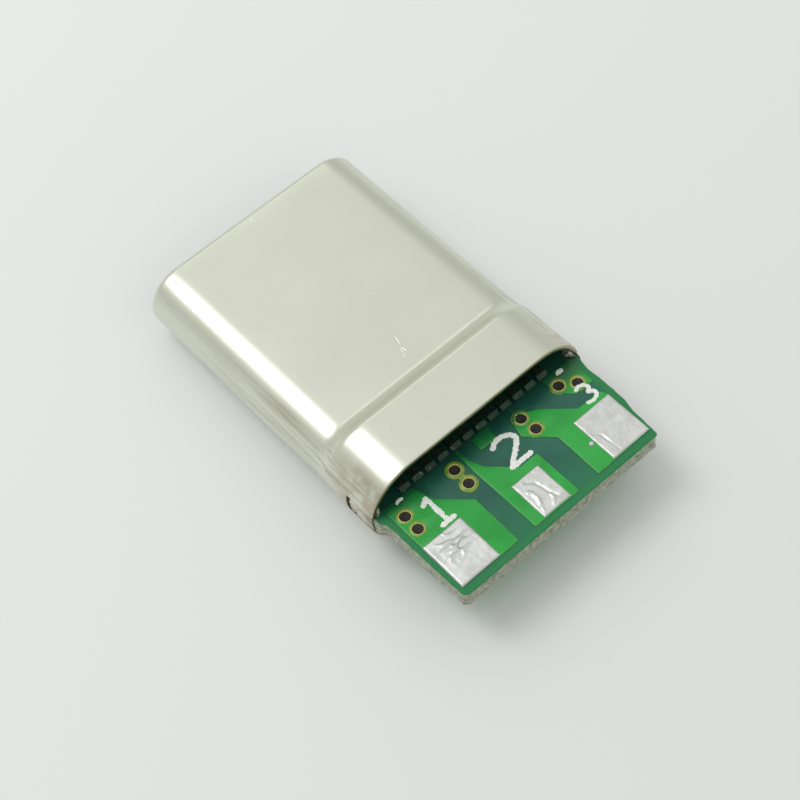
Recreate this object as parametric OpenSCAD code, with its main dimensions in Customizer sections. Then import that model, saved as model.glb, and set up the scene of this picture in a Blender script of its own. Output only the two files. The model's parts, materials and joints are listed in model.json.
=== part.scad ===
// USB-C plug on a short solder board with three lands.
// Lengths are in millimetres. A depth is measured back from the mating face of the nose.

/* [Shell] */
// Width of the nose that enters a receptacle
nose_w = 8.25; // [8.1:0.05:8.35]
// Height of the nose
nose_h = 2.4; // [2.35:0.05:2.6]
// Depth of the foot of the step
nose_l = 8.2; // [8.1:0.05:8.4]
// Length of the step between the nose and the rear section
step_l = 0.6; // [0.45:0.05:0.65]
// Distance that the rear section stands out beyond each side of the nose
rear_out = 0.05; // [0.02:0.01:0.1]
// Height of the step above and below the nose
step_rise = 0.425; // [0.3:0.005:0.5]
// Length of the rear section
rear_l = 1.9; // [1.75:0.05:2.4]
// Thickness of the shell's sheet
sheet_t = 0.15; // [0.12:0.01:0.18]
// Outer radius of the rolled front lip
lip_r = 0.25; // [0.2:0.01:0.3]
// Distance that the lip turns in from the outside of the nose
lip_in = 0.35; // [0.32:0.01:0.4]
// Length of the side notches that hold the board's ears
notch_l = 1.12; // [0.9:0.02:1.15]

/* [Board] */
// Length of the board behind the shell
board_out = 3.7; // [3.5:0.1:5]
// Length of the board inside the shell
board_in = 1.2; // [1.15:0.01:1.25]
// Distance from the outside of the shell to the board's edge
board_side = 0.25; // [0.22:0.01:0.35]
// Thickness of the board
board_t = 0.7; // [0.6:0.02:0.76]
// Gap between each ear and the front end of its notch
ear_gap = 0.09; // [0.05:0.01:0.15]
// Thickness of the copper on each face
copper_t = 0.035; // [0.02:0.005:0.07]
// Diameter of the plated holes
via_d = 0.34; // [0.3:0.01:0.4]
// Width of the ring round each plated hole
via_ring = 0.08; // [0.05:0.01:0.1]
// Thickness of the plating in each hole
plating_t = 0.025; // [0.02:0.005:0.04]
// Width of copper kept round the opening of each plated hole
via_collar = 0.03; // [0.02:0.01:0.06]

/* [Lands] */
// Width of the two outer lands, as a share of the board's width
land_w_share = 0.186; // [0.16:0.002:0.19]
// Length of the two outer lands, as a share of the board behind the shell
land_l_share = 0.46; // [0.4:0.01:0.48]
// Width of the middle land, as a share of the board's width
mid_land_w_share = 0.135; // [0.12:0.005:0.15]
// Length of the middle land, as a share of the board behind the shell
mid_land_l_share = 0.38; // [0.32:0.01:0.42]
// Place of the outer lands' middles, as a share of the board's half width
land_x_share = 0.76; // [0.74:0.005:0.78]
// Distance from the lands to the rear edge, as a share of the board behind the shell
land_edge_share = 0.08; // [0.05:0.01:0.1]
// Thickness of the solder on the lands
solder_t = 0.05; // [0.03:0.01:0.1]

/* [Contacts] */
// Number of contacts in each row
contact_count = 12; // [8:1:12]
// Distance from the side of the mouth to the middle of the first contact
row_side = 0.7; // [0.65:0.05:0.8]
// Width of each contact
contact_w = 0.25; // [0.2:0.01:0.28]
// Thickness of the contact strip
contact_t = 0.13; // [0.1:0.01:0.15]
// Free gap between the upper and lower contact points
contact_gap = 0.57; // [0.4:0.01:0.64]
// Depth of the contact points
contact_point = 2.55; // [2.4:0.05:2.9]
// Depth of the contacts' front tips
contact_tip = 1.8; // [1.75:0.05:2]
// Radius of the contacts' bends
contact_bend = 0.2; // [0.15:0.01:0.25]
// Distance from the ends of the tails to the shell's rear edge
tail_short = 0.17; // [0.16:0.01:0.25]
// Width of the solder fillet beside each tail
joint_side = 0.06; // [0.04:0.01:0.08]
// Length of the solder fillet behind each tail
joint_heel = 0.13; // [0.1:0.01:0.2]

/* [Housing] */
// Clearance between the insulators and the shell
fit_gap = 0.02; // [0.01:0.01:0.05]
// Distance from the outside of the nose to the side of the mouth
mouth_side = 0.675; // [0.65:0.005:0.7]
// Thickness of the housing above and below the mouth
mouth_cover = 0.5; // [0.45:0.01:0.52]
// Thickness of the housing above and below the entry, where the ground springs sit
entry_cover = 0.3; // [0.28:0.01:0.31]
// Depth of the mouth's floor
mouth_l = 5.2; // [5:0.05:5.3]
// Depth of the housing's front face
housing_front = 0.2; // [0.18:0.01:0.25]
// Distance from the housing's rear face to the foot of the step
housing_short = 0.15; // [0.12:0.01:0.3]
// Thickness of the web behind the mouth
web_t = 0.46; // [0.4:0.02:0.6]

/* [Carriers and latch] */
// Distance from the side of the mouth to the side of the contact carriers
carrier_side = 0.35; // [0.3:0.01:0.38]
// Thickness of the housing above and below the carriers
carrier_cover = 0.33; // [0.3:0.01:0.35]
// Thickness of the carriers' flange
flange_t = 0.5; // [0.4:0.02:0.54]
// Gap between the carriers' flange and the board
flange_gap = 0.1; // [0.05:0.01:0.12]
// Thickness of the latch plate
latch_t = 0.3; // [0.2:0.02:0.34]
// Distance from the outside of the nose to the outside of the latch arms
latch_side = 0.325; // [0.3:0.005:0.35]
// Width of each latch arm
latch_arm = 0.3; // [0.25:0.01:0.32]
// Distance that the latch hooks reach into the mouth
latch_reach = 0.77; // [0.6:0.01:0.85]
// Depth of the latch hooks
latch_hook = 2.95; // [2.8:0.05:3.2]

/* [Ground springs] */
// Distance from the side of the mouth to the side of the ground springs
spring_side = 0.8; // [0.7:0.05:1]
// Thickness of the spring sheet
spring_t = 0.09; // [0.06:0.01:0.1]
// Depth of the springs' rear edge
spring_l = 1.45; // [1.3:0.05:1.5]
// Number of fingers on each spring
finger_count = 4; // [2:1:5]
// Gap between neighbouring fingers
finger_gap = 0.3; // [0.2:0.02:0.4]
// Distance that the fingers reach into the entry
finger_reach = 0.16; // [0.1:0.01:0.18]

/* [Hidden] */
$fn = 48;
// Allowance by which a cutter runs past the face that it opens
over = 0.5;
// Points on each half round of the step, and slices along it
step_arc = 24;
step_slices = 8;
// Ledge that the step's flat facets leave against the round walls
ledge = 0.015;
// Steps in each rounded bend of a strip
bend_steps = 5;

nose_in_w = nose_w - 2 * sheet_t;
nose_in_h = nose_h - 2 * sheet_t;
rear_w = nose_w + 2 * rear_out;
rear_h = nose_h + 2 * step_rise;
rear_in_w = rear_w - 2 * sheet_t;
rear_in_h = rear_h - 2 * sheet_t;
crest = nose_l + step_l;
shell_l = crest + rear_l;
overall_l = shell_l + board_out;

board_w = rear_w - 2 * board_side;
board_front = shell_l - board_in;

board_top = board_t / 2;
copper_top = board_top + copper_t;
land_top = copper_top + solder_t;
notch_gap = 0.02;
notch_h = board_t + 2 * notch_gap;
notch_front = shell_l - notch_l;
ear_front = notch_front + ear_gap;
ear_w = rear_w - 1.5 * sheet_t;
ear_out = 0.1;

tail_end = shell_l - tail_short;
tail_z = copper_top + contact_t / 2;
tail_pad_w = contact_w + 2 * joint_side;
tail_pad_end = tail_end + joint_heel + 0.02;
joint_h = 0.8 * contact_t;

mouth_w = nose_w - 2 * mouth_side;
mouth_h = nose_in_h - 2 * mouth_cover;
entry_h = nose_in_h - 2 * entry_cover;
housing_rear = nose_l - housing_short;
carrier_w = mouth_w - 2 * carrier_side;
carrier_h = nose_in_h - 2 * carrier_cover;
flange_rear = board_front - flange_gap;
flange_front = flange_rear - flange_t;
latch_w = nose_w - 2 * latch_side;
latch_gap = mouth_w - 2 * latch_reach;
latch_tip_r = 0.15;
latch_slope = 0.75;
latch_play = 0.04;
spring_w = mouth_w - 2 * spring_side;

pitch = (mouth_w - 2 * row_side) / (contact_count - 1);
// Distance from the inside of the nose to the middle of the contacts' beams
beam_cover = 0.31;
beam_z = nose_in_h / 2 - beam_cover;
slot_top = beam_z + contact_t / 2 + 0.055;
slot_side = 0.03;
slot_front = contact_tip - 0.2;
point_z = contact_gap / 2 + contact_t / 2;
tip_z = point_z + 0.25;
jog_l = 0.55;
web_rear = mouth_l + web_t;
contact_path = [
    [-tail_end, tail_z],
    [-web_rear + 0.05, tail_z],
    [-web_rear + 0.05 + jog_l, beam_z],
    [-web_rear + 2 * jog_l, beam_z],
    [-contact_point, point_z],
    [-contact_tip, tip_z]
];

spring_front = housing_front + 0.13;
spring_z = nose_in_h / 2 - spring_t / 2;
finger_z = entry_h / 2 - 0.06;
finger_tip_z = entry_h / 2 - finger_reach;
spring_path = [
    [-spring_l, spring_z],
    [-spring_front, spring_z],
    [-spring_front, finger_z],
    [-spring_front - 0.45, finger_z - 0.02],
    [-spring_l + 0.3, finger_tip_z],
    [-spring_l + 0.03, finger_z - 0.02]
];

// Plated holes, as shares of the board's half width and of its length behind the shell
via_at = [
    [-0.86, 0.16], [-0.86, 0.31], [-0.335, 0.12], [-0.335, 0.285],
    [0.325, 0.14], [0.345, 0.29], [0.73, 0.125], [0.855, 0.21]
];
via_outer = via_d + 2 * plating_t;
via_land = via_d + 2 * via_ring;
// Holes that each net joins
ground_vias = [0, 1];
signal_vias = [2, 3];
power_vias = [4, 5];
return_vias = [6, 7];

land_w = land_w_share * board_w;
land_l = land_l_share * board_out;
mid_land_w = mid_land_w_share * board_w;
mid_land_l = mid_land_l_share * board_out;
land_x = land_x_share * board_w / 2;
land_rear = overall_l - land_edge_share * board_out;
land_front = land_rear - land_l;
mid_land_front = land_rear - mid_land_l;
ground_left = -land_x - land_w / 2;
power_right = land_x + land_w / 2;

ROWS = ["a", "b"];

nickel = [0.80, 0.79, 0.74];
steel = [0.72, 0.72, 0.71];
gold = [0.83, 0.66, 0.32];
black = [0.09, 0.09, 0.10];
mask = [0.16, 0.40, 0.34];
mask_on_copper = [0.20, 0.62, 0.30];
tin = [0.84, 0.85, 0.84];

// Placing and outlines

// Moves the plug from its mid-plane and mating face to rest on the ground about its centre
module in_place() translate([0, overall_l / 2, rear_h / 2]) children();

// Runs an outline drawn across the plug from one depth to another
module run(from, to)
    translate([0, -from, 0]) rotate([90, 0, 0]) linear_extrude(to - from) children();

// Stands an outline drawn on the board's plan between two heights
module stand(low, high) translate([0, 0, low]) linear_extrude(high - low) children();

// Flat sided outline with half round ends
module stadium(w, h) {
    square([w - h, h], center = true);
    for (side = [-1, 1]) translate([side * (w - h) / 2, 0]) circle(d = h);
}

module rounded_box(w, h, r) {
    square([w - 2 * r, h], center = true);
    square([w, h - 2 * r], center = true);
    for (x = [-1, 1], y = [-1, 1]) translate([x * (w / 2 - r), y * (h / 2 - r)]) circle(r = r);
}

// Box by its range across the plug, its range of depth and its range of height
module block(x, depth, z)
    translate([x[0], -depth[1], z[0]]) cube([x[1] - x[0], depth[1] - depth[0], z[1] - z[0]]);

// Rectangle on the board's plan by its range across and its range of depth
module patch(x, depth) translate([x[0], -depth[1]]) square([x[1] - x[0], depth[1] - depth[0]]);

// Outline on the board's plan whose points are given as place across and depth
module plan(points) polygon([for (p = points) [p[0], -p[1]]]);

// Outline whose points are shares of the board's half width and of its length behind the shell
module layout(points) plan([for (p = points) on_board(p)]);

function on_board(p) = [p[0] * board_w / 2, shell_l + p[1] * board_out];

module both_sides() {
    children();
    mirror([1, 0, 0]) children();
}

module lower_side() mirror([0, 0, 1]) children();

module at_contacts()
    for (i = [1:contact_count]) translate([contact_x(i), 0, 0]) children();

function contact_x(i) = (i - (contact_count + 1) / 2) * pitch;

// Bent strips

function unit(v) = v / norm(v);
function turned(v, a) = [v[0] * cos(a) - v[1] * sin(a), v[0] * sin(a) + v[1] * cos(a)];

// Points of the arc that rounds the corner b between a and c
function rounded_corner(a, b, c, r) =
    let (
        to_a = unit(a - b),
        to_c = unit(c - b),
        half = acos(to_a * to_c) / 2,
        centre = b + unit(to_a + to_c) * r / sin(half),
        start = b + to_a * r / tan(half) - centre,
        turn = (180 - 2 * half) * sign(cross(b - a, c - b))
    )
    [for (k = [0:bend_steps]) centre + turned(start, turn * k / bend_steps)];

function rounded_path(p, r) = concat(
    [p[0]],
    [for (i = [1:len(p) - 2]) each rounded_corner(p[i - 1], p[i], p[i + 1], r)],
    [p[len(p) - 1]]
);

function path_normal(p, i) =
    let (
        back = i > 0 ? unit(p[i] - p[i - 1]) : [0, 0],
        ahead = i < len(p) - 1 ? unit(p[i + 1] - p[i]) : [0, 0]
    )
    turned(unit(back + ahead), 90);

// Closed outline of a strip of thickness t along the path p
function strip_outline(p, t) = concat(
    [for (i = [0:len(p) - 1]) p[i] + path_normal(p, i) * t / 2],
    [for (i = [len(p) - 1:-1:0]) p[i] - path_normal(p, i) * t / 2]
);

// Strip bent along a path of depth and height, w wide across the plug
module bent_strip(path, r, t, w)
    rotate([90, 0, 90]) linear_extrude(w, center = true)
        polygon(strip_outline(rounded_path(path, r), t));

// Shell

// Section of the nose's wall: distance from the axis of its round end, against depth
module nose_section() {
    outer = nose_h / 2;
    translate([outer - sheet_t, -nose_l]) square([sheet_t, nose_l - lip_r]);
    translate([outer - lip_r, -lip_r]) intersection() {
        difference() {
            circle(r = lip_r);
            circle(r = lip_r - sheet_t);
        }
        square(lip_r);
    }
    translate([outer - lip_in, -sheet_t]) square([lip_in - lip_r, sheet_t]);
}

module nose_wall() {
    flat = nose_w - nose_h;
    both_sides() translate([flat / 2, 0, 0])
        rotate([-90, 0, 0]) rotate([0, 0, -90]) rotate_extrude(angle = 180) nose_section();
    for (turn = [0, 180])
        rotate([0, turn, 0]) rotate([0, -90, 0]) linear_extrude(flat, center = true)
            nose_section();
}

// Points round a stadium that is w wide and h high, at one depth
function stadium_ring(w, h, depth) = [
    for (side = [1, -1], k = [0:step_arc])
        let (a = -90 + 180 * k / step_arc)
        [side * ((w - h) / 2 + h / 2 * cos(a)), -depth, side * h / 2 * sin(a)]
];

// Share of the step's rise at a share of its length: a soft foot and a crisp crest
function rise(share) = 1 - cos(90 * share);

function step_ring(i, inset) =
    let (share = i / step_slices, up = rise(share))
    stadium_ring(
        nose_w + (rear_w - nose_w) * up - 2 * inset,
        nose_h + (rear_h - nose_h) * up - 2 * inset,
        nose_l + step_l * share
    );

module step_wall() {
    count = 2 * (step_arc + 1);
    inner = count * (step_slices + 1);
    last = count * step_slices;
    points = concat(
        [for (i = [0:step_slices]) each step_ring(i, ledge * (2 * i / step_slices - 1))],
        [for (i = [0:step_slices]) each step_ring(i, sheet_t + ledge)]
    );
    sides = [
        for (i = [0:step_slices - 1], k = [0:count - 1])
            let (a = i * count + k, b = i * count + (k + 1) % count)
            each [
                [b, a, a + count], [b, a + count, b + count],
                [inner + a, inner + b, inner + b + count],
                [inner + a, inner + b + count, inner + a + count]
            ]
    ];
    ends = [
        for (k = [0:count - 1])
            let (n = (k + 1) % count)
            each [
                [k, n, inner + n, inner + k],
                [last + n, last + k, inner + last + k, inner + last + n]
            ]
    ];
    polyhedron(points, concat(sides, ends), convexity = 4);
}

module rear_wall() run(crest, shell_l) difference() {
    stadium(rear_w, rear_h);
    stadium(rear_in_w, rear_in_h);
}

module side_notches()
    both_sides()
        block([board_w / 2, rear_w / 2 + over], [notch_front, shell_l + over],
            [-notch_h / 2, notch_h / 2]);

module shell() color(nickel) in_place() difference() {
    union() {
        nose_wall();
        step_wall();
        rear_wall();
    }
    side_notches();
}

// Insulators

module contact_slots() {
    half = contact_w / 2 + slot_side;
    low = tail_z - contact_t / 2 - slot_side;
    at_contacts() block([-half, half], [slot_front, web_rear + over], [low, slot_top]);
}

// Seat of a ground spring: a recess under the shell and the wall's front cut back for the fold
module spring_seat() {
    half = spring_w / 2 + 0.05;
    floor_z = spring_z - spring_t / 2 - fit_gap;
    block([-half, half], [0, spring_l + 0.05], [floor_z, nose_h / 2]);
    block([-half, half], [0, spring_front + spring_t / 2 + 0.04], [0, nose_h / 2]);
}

module latch_slots() {
    half_h = latch_t / 2 + latch_play;
    front = latch_hook - latch_slope - latch_tip_r;
    both_sides()
        block([mouth_w / 2 - 0.1, nose_w / 2], [front, housing_rear + over],
            [-half_h, half_h]);
    block([-nose_w / 2, nose_w / 2], [web_rear - fit_gap, housing_rear + over],
        [-half_h, half_h]);
}

// The moulding that lines the nose. Its walls are nodes of their own, so that the mouth is open
module housing_body() difference() {
    run(housing_front, housing_rear) stadium(nose_in_w - 2 * fit_gap, nose_in_h - 2 * fit_gap);
    run(0, mouth_l) rounded_box(mouth_w, mouth_h, 0.2);
    run(0, slot_front) rounded_box(mouth_w, entry_h, 0.25);
    run(web_rear, housing_rear + over)
        square([carrier_w + 2 * fit_gap, carrier_h + 2 * fit_gap], center = true);
    latch_slots();
    for (side = [0, 1]) mirror([0, 0, side]) {
        contact_slots();
        spring_seat();
    }
}

// Part of the moulding inside a box by its range across, range of depth and range of height
module housing_part(x, depth, z) color(black) in_place() intersection() {
    housing_body();
    block(x, depth, z);
}

module housing_upper()
    housing_part([-mouth_w / 2, mouth_w / 2], [0, nose_l], [mouth_h / 2, nose_h]);
module housing_lower()
    housing_part([-mouth_w / 2, mouth_w / 2], [0, nose_l], [-nose_h, -mouth_h / 2]);
module housing_left() housing_part([-nose_w, -mouth_w / 2], [0, nose_l], [-nose_h, nose_h]);
module housing_right() housing_part([mouth_w / 2, nose_w], [0, nose_l], [-nose_h, nose_h]);
module housing_web()
    housing_part([-mouth_w / 2, mouth_w / 2], [mouth_l, nose_l], [-mouth_h / 2, mouth_h / 2]);

module contact_tunnels() {
    half = contact_w / 2;
    at_contacts() block([-half, half], [mouth_l, flange_rear + over],
        [tail_z - contact_t / 2, tail_z + contact_t / 2]);
}

module carrier() difference() {
    union() {
        block([-carrier_w / 2, carrier_w / 2], [web_rear + fit_gap, flange_rear],
            [latch_t / 2, carrier_h / 2]);
        intersection() {
            run(flange_front, flange_rear)
                stadium(rear_in_w - 2 * fit_gap, rear_in_h - 2 * fit_gap);
            block([-rear_w, rear_w], [flange_front, flange_rear], [latch_t / 2, rear_h]);
        }
    }
    contact_tunnels();
}

module upper_carrier() color(black) in_place() carrier();
module lower_carrier() color(black) in_place() lower_side() carrier();

// Metal pieces inside

module latch_outline() {
    outer = latch_w / 2;
    inner = outer - latch_arm;
    hook = latch_gap / 2 + latch_tip_r;
    patch([-outer, outer], [web_rear, flange_rear]);
    both_sides() {
        patch([inner, outer], [latch_hook - latch_slope, web_rear]);
        plan([
            [inner, latch_hook - latch_slope], [hook, latch_hook - latch_tip_r],
            [hook, latch_hook + latch_tip_r], [inner, latch_hook + latch_slope]
        ]);
        translate([hook, -latch_hook]) circle(r = latch_tip_r);
    }
}

module latch_plate() color(steel) in_place() stand(-latch_t / 2, latch_t / 2) latch_outline();

module spring_finger_gaps() {
    finger_w = (spring_w - (finger_count - 1) * finger_gap) / finger_count;
    for (i = [1:finger_count - 1]) {
        left = -spring_w / 2 + i * finger_w + (i - 1) * finger_gap;
        block([left, left + finger_gap], [spring_front + spring_t, spring_l + over],
            [0, entry_h / 2]);
    }
}

module ground_spring() difference() {
    bent_strip(spring_path, spring_t, spring_t, spring_w);
    spring_finger_gaps();
}

module ground_spring_top() color(steel) in_place() ground_spring();
module ground_spring_bottom() color(steel) in_place() lower_side() ground_spring();

module contact(row, i) color(gold) in_place() mirror([0, 0, row == "b" ? 1 : 0])
    translate([contact_x(i), 0, 0])
        bent_strip(contact_path, contact_bend, contact_t, contact_w);

// Board

module board_outline() {
    patch([-board_w / 2, board_w / 2], [board_front, overall_l]);
    step_out = (ear_w - board_w) / 2;
    both_sides() {
        patch([0, ear_w / 2], [ear_front, shell_l + ear_out]);
        translate([board_w / 2, -shell_l - ear_out - step_out]) difference() {
            square(step_out);
            translate([step_out, 0]) circle(r = step_out);
        }
    }
}

module at_vias(holes = [0:len(via_at) - 1]) for (i = holes)
    let (place = on_board(via_at[i])) translate([place[0], -place[1], 0]) children();

module circuit_board() color(mask) in_place() difference() {
    stand(-board_top, board_top) board_outline();
    at_vias() cylinder(d = via_outer, h = 2 * board_t, center = true);
}

module via_barrels() color(gold) in_place() at_vias() difference() {
    union() {
        cylinder(d = via_outer, h = board_t, center = true);
        for (side = [0, 1]) mirror([0, 0, side])
            translate([0, 0, board_top]) cylinder(d = via_land, h = copper_t);
    }
    cylinder(d = via_d, h = 2 * board_t, center = true);
}

// Copper area with a collar round the holes that it joins, open round the rings of all holes
module copper_area(holes) difference() {
    union() {
        stand(board_top, copper_top) children();
        at_vias(holes) translate([0, 0, board_top])
            cylinder(d = via_land + 2 * via_collar, h = copper_t);
    }
    at_vias() cylinder(d = via_land, h = 2 * board_t, center = true);
}

module pour(holes = []) color(mask_on_copper) in_place() copper_area(holes) children();

module pour_bottom(holes) color(mask_on_copper) in_place() lower_side()
    copper_area(holes) children();

module ground_pour() pour(ground_vias) plan([
    [ground_left - 0.03, tail_pad_end], [on_board([-0.66, 0])[0], tail_pad_end],
    on_board([-0.61, 0.2]), on_board([-0.395, 0.43]), [on_board([-0.395, 0])[0], land_rear],
    [ground_left, land_rear], [ground_left - 0.03, land_front]
]);

module control_pour() pour() plan([
    [on_board([-0.24, 0])[0], tail_pad_end], [on_board([-0.205, 0])[0], tail_pad_end],
    on_board([-0.2, 0.135]), on_board([-0.155, 0.26]), on_board([-0.07, 0.35]),
    on_board([0.025, 0.46]), on_board([0.2, 0.46]), [on_board([0.205, 0])[0], land_rear],
    [on_board([-0.23, 0])[0], land_rear], on_board([-0.24, 0.24])
]);

module power_pour() pour(power_vias) plan([
    on_board([0.25, 0.13]), [on_board([0.31, 0])[0], shell_l],
    [on_board([0.31, 0])[0], tail_pad_end], [on_board([0.33, 0])[0], tail_pad_end],
    [on_board([0.33, 0])[0], shell_l], on_board([0.37, 0.1]), on_board([0.48, 0.175]),
    on_board([0.695, 0.39]), on_board([0.92, 0.4]), [power_right, land_front],
    [power_right, land_rear], [on_board([0.41, 0])[0], land_rear], on_board([0.41, 0.47]),
    on_board([0.22, 0.265])
]);

module return_pour() pour(return_vias) plan([
    [on_board([0.66, 0])[0], tail_pad_end], [on_board([0.955, 0])[0], tail_pad_end],
    on_board([0.945, 0.28]), on_board([0.78, 0.28]), on_board([0.66, 0.155])
]);

module link_pour() pour(signal_vias)
    layout([[-0.365, 0.12], [-0.305, 0.12], [-0.305, 0.285], [-0.365, 0.285]]);

module data_pour() pour() plan([
    [on_board([-0.08, 0])[0], tail_pad_end], [on_board([0.085, 0])[0], tail_pad_end],
    on_board([0.085, 0.14]), on_board([-0.08, 0.14])
]);

module ground_pour_bottom() pour_bottom(concat(ground_vias, return_vias)) difference() {
    plan([
        [ground_left, on_board([0, 0.08])[1]], [power_right, on_board([0, 0.08])[1]],
        [power_right, land_rear], [ground_left, land_rear]
    ]);
    layout([[-0.445, 0], [0.445, 0], [0.445, 0.4], [-0.445, 0.4]]);
}

module power_pour_bottom() pour_bottom(concat(signal_vias, power_vias))
    layout([[-0.41, 0.08], [0.41, 0.08], [0.41, 0.37], [-0.41, 0.37]]);

module land(x, w, l) color(tin) in_place()
    stand(copper_top, land_top) patch([x - w / 2, x + w / 2], [land_rear - l, land_rear]);

module ground_land() land(-land_x, land_w, land_l);
module control_land() land(0, mid_land_w, mid_land_l);
module power_land() land(land_x, land_w, land_l);

// Joints at the tails

module tail_pads() at_contacts()
    stand(board_top, copper_top)
        patch([-tail_pad_w / 2, tail_pad_w / 2], [board_front, tail_pad_end]);

// Fillet that climbs both sides of a tail and its end
module tail_joint() {
    half = contact_w / 2;
    out = tail_pad_w / 2;
    both_sides() run(board_front, tail_end)
        polygon([[half, copper_top], [out, copper_top], [half, copper_top + joint_h]]);
    rotate([90, 0, 90]) linear_extrude(tail_pad_w, center = true) polygon([
        [-tail_end, copper_top], [-tail_end - joint_heel, copper_top],
        [-tail_end, copper_top + joint_h]
    ]);
}

module tail_joints() at_contacts() tail_joint();

module tail_pads_top() color(tin) in_place() tail_pads();
module tail_pads_bottom() color(tin) in_place() lower_side() tail_pads();
module tail_joints_top() color(tin) in_place() tail_joints();
module tail_joints_bottom() color(tin) in_place() lower_side() tail_joints();

// Solder that fills a side notch round the board's ear and rises inside the shell
module shell_joint() difference() {
    union() {
        intersection() {
            run(ear_front, shell_l) stadium(rear_w, rear_h);
            block([board_w / 2, rear_w], [ear_front, shell_l], [-notch_h / 2, notch_h / 2]);
        }
        intersection() {
            run(shell_l - 0.5, shell_l + 0.1) stadium(rear_in_w, rear_in_h);
            block([0, rear_w], [shell_l - 0.5, shell_l + 0.1], [board_top, rear_h]);
            translate([rear_in_w / 2, -shell_l + 0.2, board_top]) sphere(d = 0.6);
        }
    }
    stand(-board_top, board_top) board_outline();
}

module shell_joint_left() color(tin) in_place() mirror([1, 0, 0]) shell_joint();
module shell_joint_right() color(tin) in_place() shell_joint();

module solder_bead() color(tin) in_place() intersection() {
    translate([on_board([0.543, 0])[0], -on_board([0, 0.7])[1], copper_top])
        sphere(d = 0.18);
    stand(copper_top, copper_top + over) patch([0, board_w / 2], [land_front, land_rear]);
}

shell();
housing_upper();
housing_lower();
housing_left();
housing_right();
housing_web();
upper_carrier();
lower_carrier();
latch_plate();
ground_spring_top();
ground_spring_bottom();
circuit_board();
via_barrels();
ground_pour();
control_pour();
power_pour();
return_pour();
link_pour();
data_pour();
ground_pour_bottom();
power_pour_bottom();
ground_land();
control_land();
power_land();
tail_pads_top();
tail_pads_bottom();
tail_joints_top();
tail_joints_bottom();
shell_joint_left();
shell_joint_right();
solder_bead();
for (row = ROWS) for (i = [1:contact_count])
    contact(row, i);
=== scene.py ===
import json
import math

import bpy
from mathutils import Matrix, Vector, noise
from mathutils.geometry import tessellate_polygon


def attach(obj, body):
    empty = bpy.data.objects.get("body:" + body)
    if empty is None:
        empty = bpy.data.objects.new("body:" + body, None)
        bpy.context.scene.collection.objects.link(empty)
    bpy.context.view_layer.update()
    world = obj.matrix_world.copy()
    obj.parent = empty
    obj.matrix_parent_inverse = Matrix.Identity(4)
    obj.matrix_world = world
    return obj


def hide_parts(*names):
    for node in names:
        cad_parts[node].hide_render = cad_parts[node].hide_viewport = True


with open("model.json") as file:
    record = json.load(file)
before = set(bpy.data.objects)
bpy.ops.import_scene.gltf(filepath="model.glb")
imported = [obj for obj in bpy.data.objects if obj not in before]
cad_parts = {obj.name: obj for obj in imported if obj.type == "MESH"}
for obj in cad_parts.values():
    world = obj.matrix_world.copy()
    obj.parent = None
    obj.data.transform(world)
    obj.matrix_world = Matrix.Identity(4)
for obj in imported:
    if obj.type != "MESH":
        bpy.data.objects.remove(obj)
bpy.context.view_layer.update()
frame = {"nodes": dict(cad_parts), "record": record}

# Sizes of the plug in millimetres, as in its source. A depth runs back from the mating face.
MM = 0.001
NOSE_W, NOSE_H, NOSE_L = 8.25, 2.4, 8.2
REAR_W, REAR_H, STEP_L, SHELL_L = 8.35, 3.25, 0.6, 10.7
SHEET_T, LIP_R, LIP_IN = 0.15, 0.25, 0.35
CREST = NOSE_L + STEP_L
OVERALL_L = 14.4
BOARD_T, COPPER_T, LAND_T = 0.7, 0.035, 0.05
BOARD_W, BOARD_FRONT = 7.85, 9.5
NOTCH_FRONT = SHELL_L - 1.12
BOARD_TOP = BOARD_T / 2
COPPER_TOP = BOARD_TOP + COPPER_T
VIA_SHARES = [
    (-0.86, 0.16), (-0.86, 0.31), (-0.335, 0.12), (-0.335, 0.285),
    (0.325, 0.14), (0.345, 0.29), (0.73, 0.125), (0.855, 0.21),
]
VIAS = [(x * BOARD_W / 2, d * (OVERALL_L - SHELL_L)) for x, d in VIA_SHARES]


def at(x, depth, z):
    """Row frame place, in metres, of a place across the plug, a depth and a height off the mid-plane."""
    return Vector((x, OVERALL_L / 2 - depth, z + REAR_H / 2)) * MM


def rough(x, y, z, scale, seed=0.0):
    return noise.noise(Vector((x / scale + seed, y / scale - seed, z / scale + 2 * seed)))


# Mesh helpers


def new_object(name, mesh, material=None, smooth=40):
    o = bpy.data.objects.new(name, mesh)
    bpy.context.scene.collection.objects.link(o)
    if material is not None and not mesh.materials:
        mesh.materials.append(material)
    if smooth:
        mesh.shade_smooth()
        mesh.set_sharp_from_angle(angle=math.radians(smooth))
    return o


def mesh_of(name, verts, faces):
    me = bpy.data.meshes.new(name)
    me.from_pydata([tuple(v) for v in verts], [], faces)
    me.validate()
    me.update()
    return me


def loft(name, rings, close_rings=True, close_ends=False, caps=False):
    """Mesh through equal rings of points."""
    n = len(rings[0])
    verts = [p for ring in rings for p in ring]
    faces = []
    count = len(rings) if close_ends else len(rings) - 1
    for i in range(count):
        a, b = i * n, ((i + 1) % len(rings)) * n
        for k in range(n if close_rings else n - 1):
            m = (k + 1) % n
            faces.append((a + k, a + m, b + m, b + k))
    if caps:
        faces.append(tuple(range(n))[::-1])
        faces.append(tuple(range((len(rings) - 1) * n, len(rings) * n)))
    me = mesh_of(name, verts, faces)
    fix_normals(me)
    return me


def fix_normals(me):
    import bmesh

    bm = bmesh.new()
    bm.from_mesh(me)
    bmesh.ops.recalc_face_normals(bm, faces=bm.faces)
    bm.to_mesh(me)
    bm.free()


def apply_modifiers(o):
    dg = bpy.context.evaluated_depsgraph_get()
    me = bpy.data.meshes.new_from_object(o.evaluated_get(dg), preserve_all_data_layers=True, depsgraph=dg)
    o.modifiers.clear()
    o.data = me
    return o


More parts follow.
